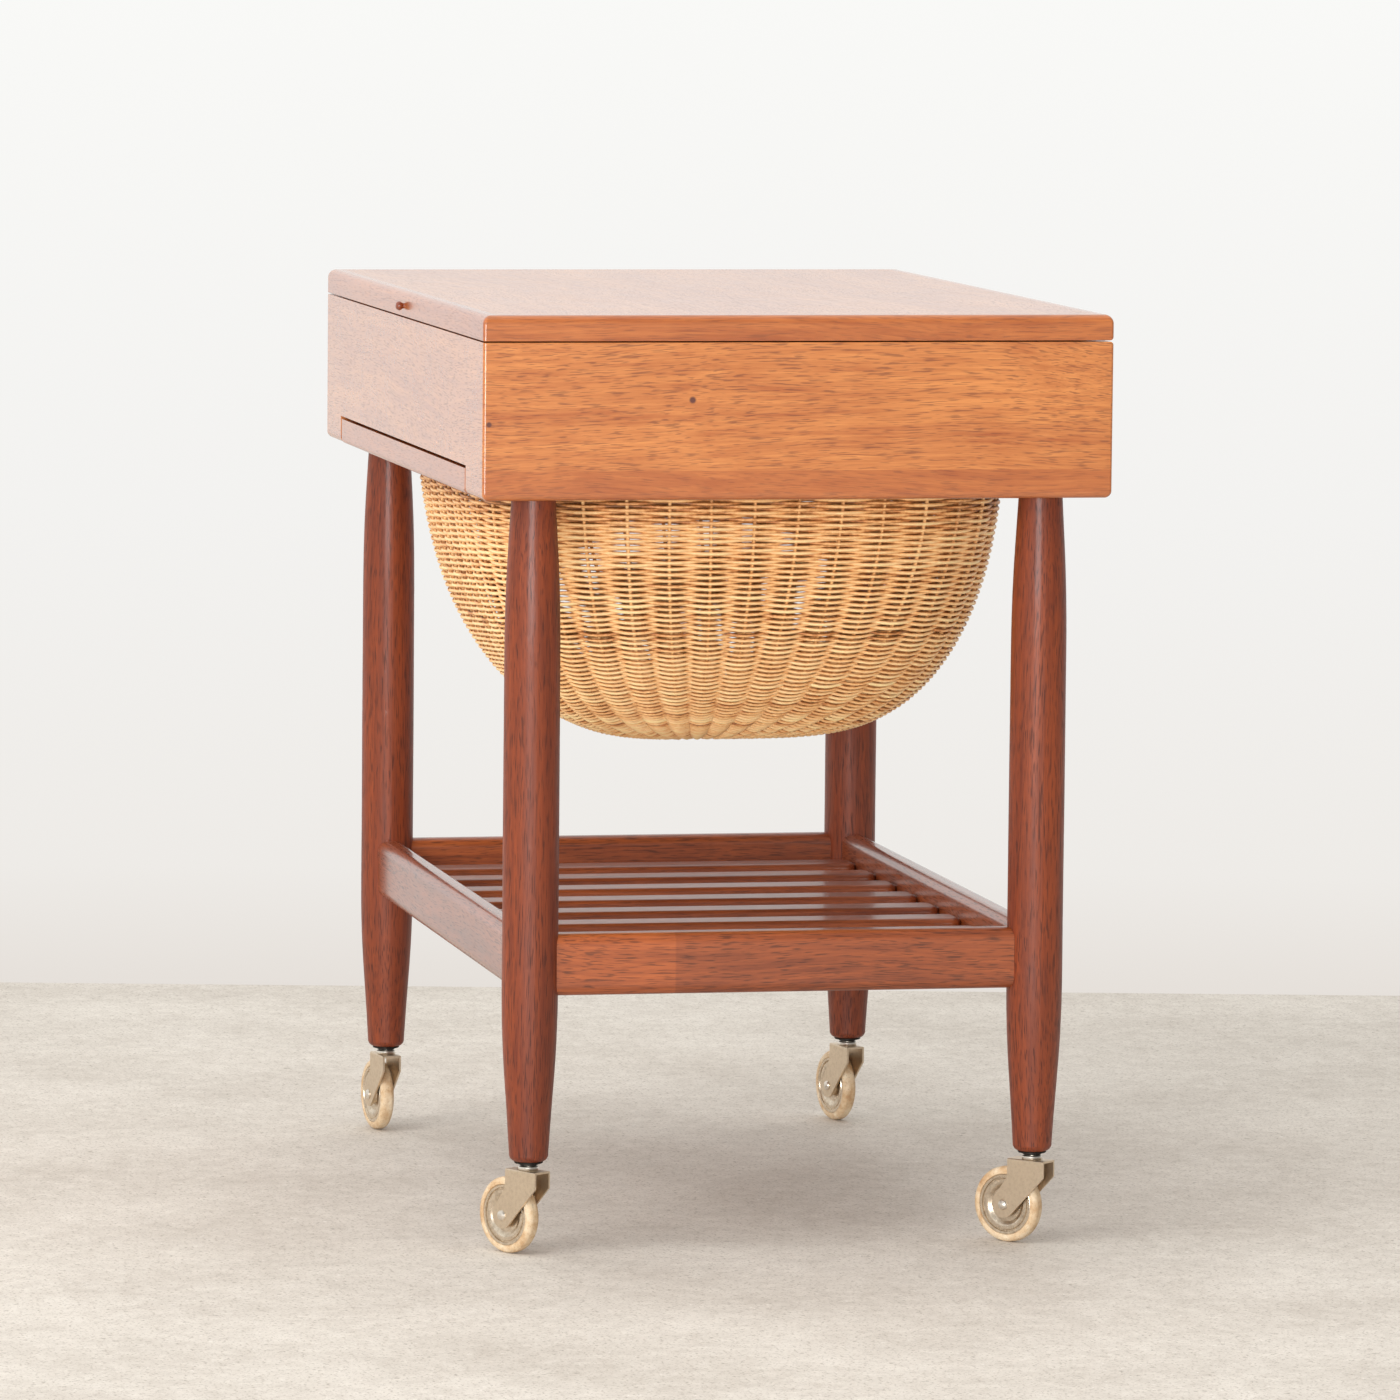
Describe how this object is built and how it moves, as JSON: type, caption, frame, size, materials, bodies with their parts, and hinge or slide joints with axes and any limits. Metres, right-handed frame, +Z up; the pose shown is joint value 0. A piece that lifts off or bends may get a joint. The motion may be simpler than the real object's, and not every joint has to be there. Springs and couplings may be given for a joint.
{
  "type": "sewing table with basket",
  "caption": "Teak sewing table on casters: hinged lid over a divided case, woven cane basket in a sliding frame, turned legs and a slatted shelf.",
  "frame": {"origin": "on the floor, under the middle of the case", "axes": "+Z up; +X along the length of the case, to the right of a user who faces it; +Y from the user's front (lid pull and basket front rail) towards the hinge side"},
  "size_m": [0.6296, 0.4261, 0.6123],
  "materials": {
    "teak_veneer_case": "satin lacquered teak veneer with fine dark pores",
    "teak_lipping": "satin lacquered solid teak",
    "teak_top": "satin lacquered teak veneer",
    "teak_turned": "satin lacquered red-brown solid teak, turned",
    "teak_shelf": "satin lacquered red-brown solid teak",
    "plywood": "clear lacquered plywood",
    "beech": "waxed beech",
    "cane": "natural woven cane, matte to satin",
    "brass": "aged satin brass",
    "black_steel": "blackened steel",
    "nickel_steel": "worn nickel-plated pressed steel",
    "bright_nickel": "bright nickel plate",
    "cream_rubber": "aged cream rubber"
  },
  "bodies": {
    "root": {"case_front_wall": "teak_veneer_case", "case_rear_wall": "teak_veneer_case", "case_left_end": "teak_veneer_case", "case_right_end": "teak_veneer_case", "end_lippings": "teak_lipping", "case_floor": "plywood", "leg_blocks": "beech", "leg_front_left": "teak_turned", "leg_front_right": "teak_turned", "leg_rear_left": "teak_turned", "leg_rear_right": "teak_turned", "basket_runners": "beech", "shelf_rail_front": "teak_shelf", "shelf_rail_rear": "teak_shelf", "shelf_rail_left": "teak_shelf", "shelf_rail_right": "teak_shelf", "shelf_slats": "teak_shelf", "tray_ledges": "beech", "compartment_dividers": "beech", "spool_rail": "beech", "spool_pegs": "beech", "hinge_case_leaves": "brass", "hinge_pins": "brass", "hinge_case_screws": "brass", "caster_sockets": "black_steel"},
    "lid": {"lid_panel": "teak_top", "lid_lipping_front": "teak_lipping", "lid_lipping_rear": "teak_lipping", "lid_lipping_ends": "teak_lipping", "lid_pull": "teak_turned", "hinge_lid_leaves": "brass", "hinge_lid_screws": "brass"},
    "basket_frame": {"basket_frame_front": "teak_lipping", "basket_frame_left": "beech", "basket_frame_right": "beech", "basket_frame_rear": "beech", "basket": "cane"},
    "thread_tray": {"tray_long_sides": "beech", "tray_short_sides": "beech", "tray_bottom": "plywood"},
    "caster_front_right": {"fork_front_right": "nickel_steel", "stem_front_right": "bright_nickel", "axle_front_right": "nickel_steel"},
    "wheel_front_right": {"hub_front_right": "nickel_steel", "tyre_front_right": "cream_rubber"},
    "caster_rear_right": {"fork_rear_right": "nickel_steel", "stem_rear_right": "bright_nickel", "axle_rear_right": "nickel_steel"},
    "wheel_rear_right": {"hub_rear_right": "nickel_steel", "tyre_rear_right": "cream_rubber"},
    "caster_front_left": {"fork_front_left": "nickel_steel", "stem_front_left": "bright_nickel", "axle_front_left": "nickel_steel"},
    "wheel_front_left": {"hub_front_left": "nickel_steel", "tyre_front_left": "cream_rubber"},
    "caster_rear_left": {"fork_rear_left": "nickel_steel", "stem_rear_left": "bright_nickel", "axle_rear_left": "nickel_steel"},
    "wheel_rear_left": {"hub_rear_left": "nickel_steel", "tyre_rear_left": "cream_rubber"}
  },
  "joints": [
    {"name": "lid_hinge", "type": "hinge", "parent": "root", "child": "lid", "pos_m": [0, 0.2104, 0.5953], "axis": [-1, 0, 0], "range_deg": [0, 100]},
    {"name": "basket_slide", "type": "slide", "parent": "root", "child": "basket_frame", "axis": [0, -1, 0], "range_m": [0, 0.28]},
    {"name": "tray_slide", "type": "slide", "parent": "root", "child": "thread_tray", "axis": [1, 0, 0], "range_m": [0, 0.386]},
    {"name": "swivel_front_right", "type": "hinge", "parent": "root", "child": "caster_front_right", "pos_m": [0.277, -0.168, 0.055], "axis": [0, 0, 1], "continuous": true},
    {"name": "roll_front_right", "type": "hinge", "parent": "caster_front_right", "child": "wheel_front_right", "pos_m": [0.26182, -0.17767, 0.025], "axis": [0.5373, -0.8434, 0], "continuous": true},
    {"name": "swivel_rear_right", "type": "hinge", "parent": "root", "child": "caster_rear_right", "pos_m": [0.277, 0.168, 0.055], "axis": [0, 0, 1], "continuous": true},
    {"name": "roll_rear_right", "type": "hinge", "parent": "caster_rear_right", "child": "wheel_rear_right", "pos_m": [0.26373, 0.15584, 0.025], "axis": [0.6756, -0.7373, 0], "continuous": true},
    {"name": "swivel_front_left", "type": "hinge", "parent": "root", "child": "caster_front_left", "pos_m": [-0.277, -0.168, 0.055], "axis": [0, 0, 1], "continuous": true},
    {"name": "roll_front_left", "type": "hinge", "parent": "caster_front_left", "child": "wheel_front_left", "pos_m": [-0.29475, -0.17097, 0.025], "axis": [0.165, -0.9863, 0], "continuous": true},
    {"name": "swivel_rear_left", "type": "hinge", "parent": "root", "child": "caster_rear_left", "pos_m": [-0.277, 0.168, 0.055], "axis": [0, 0, 1], "continuous": true},
    {"name": "roll_rear_left", "type": "hinge", "parent": "caster_rear_left", "child": "wheel_rear_left", "pos_m": [-0.29447, 0.16365, 0.025], "axis": [0.2419, -0.9703, 0], "continuous": true}
  ]
}
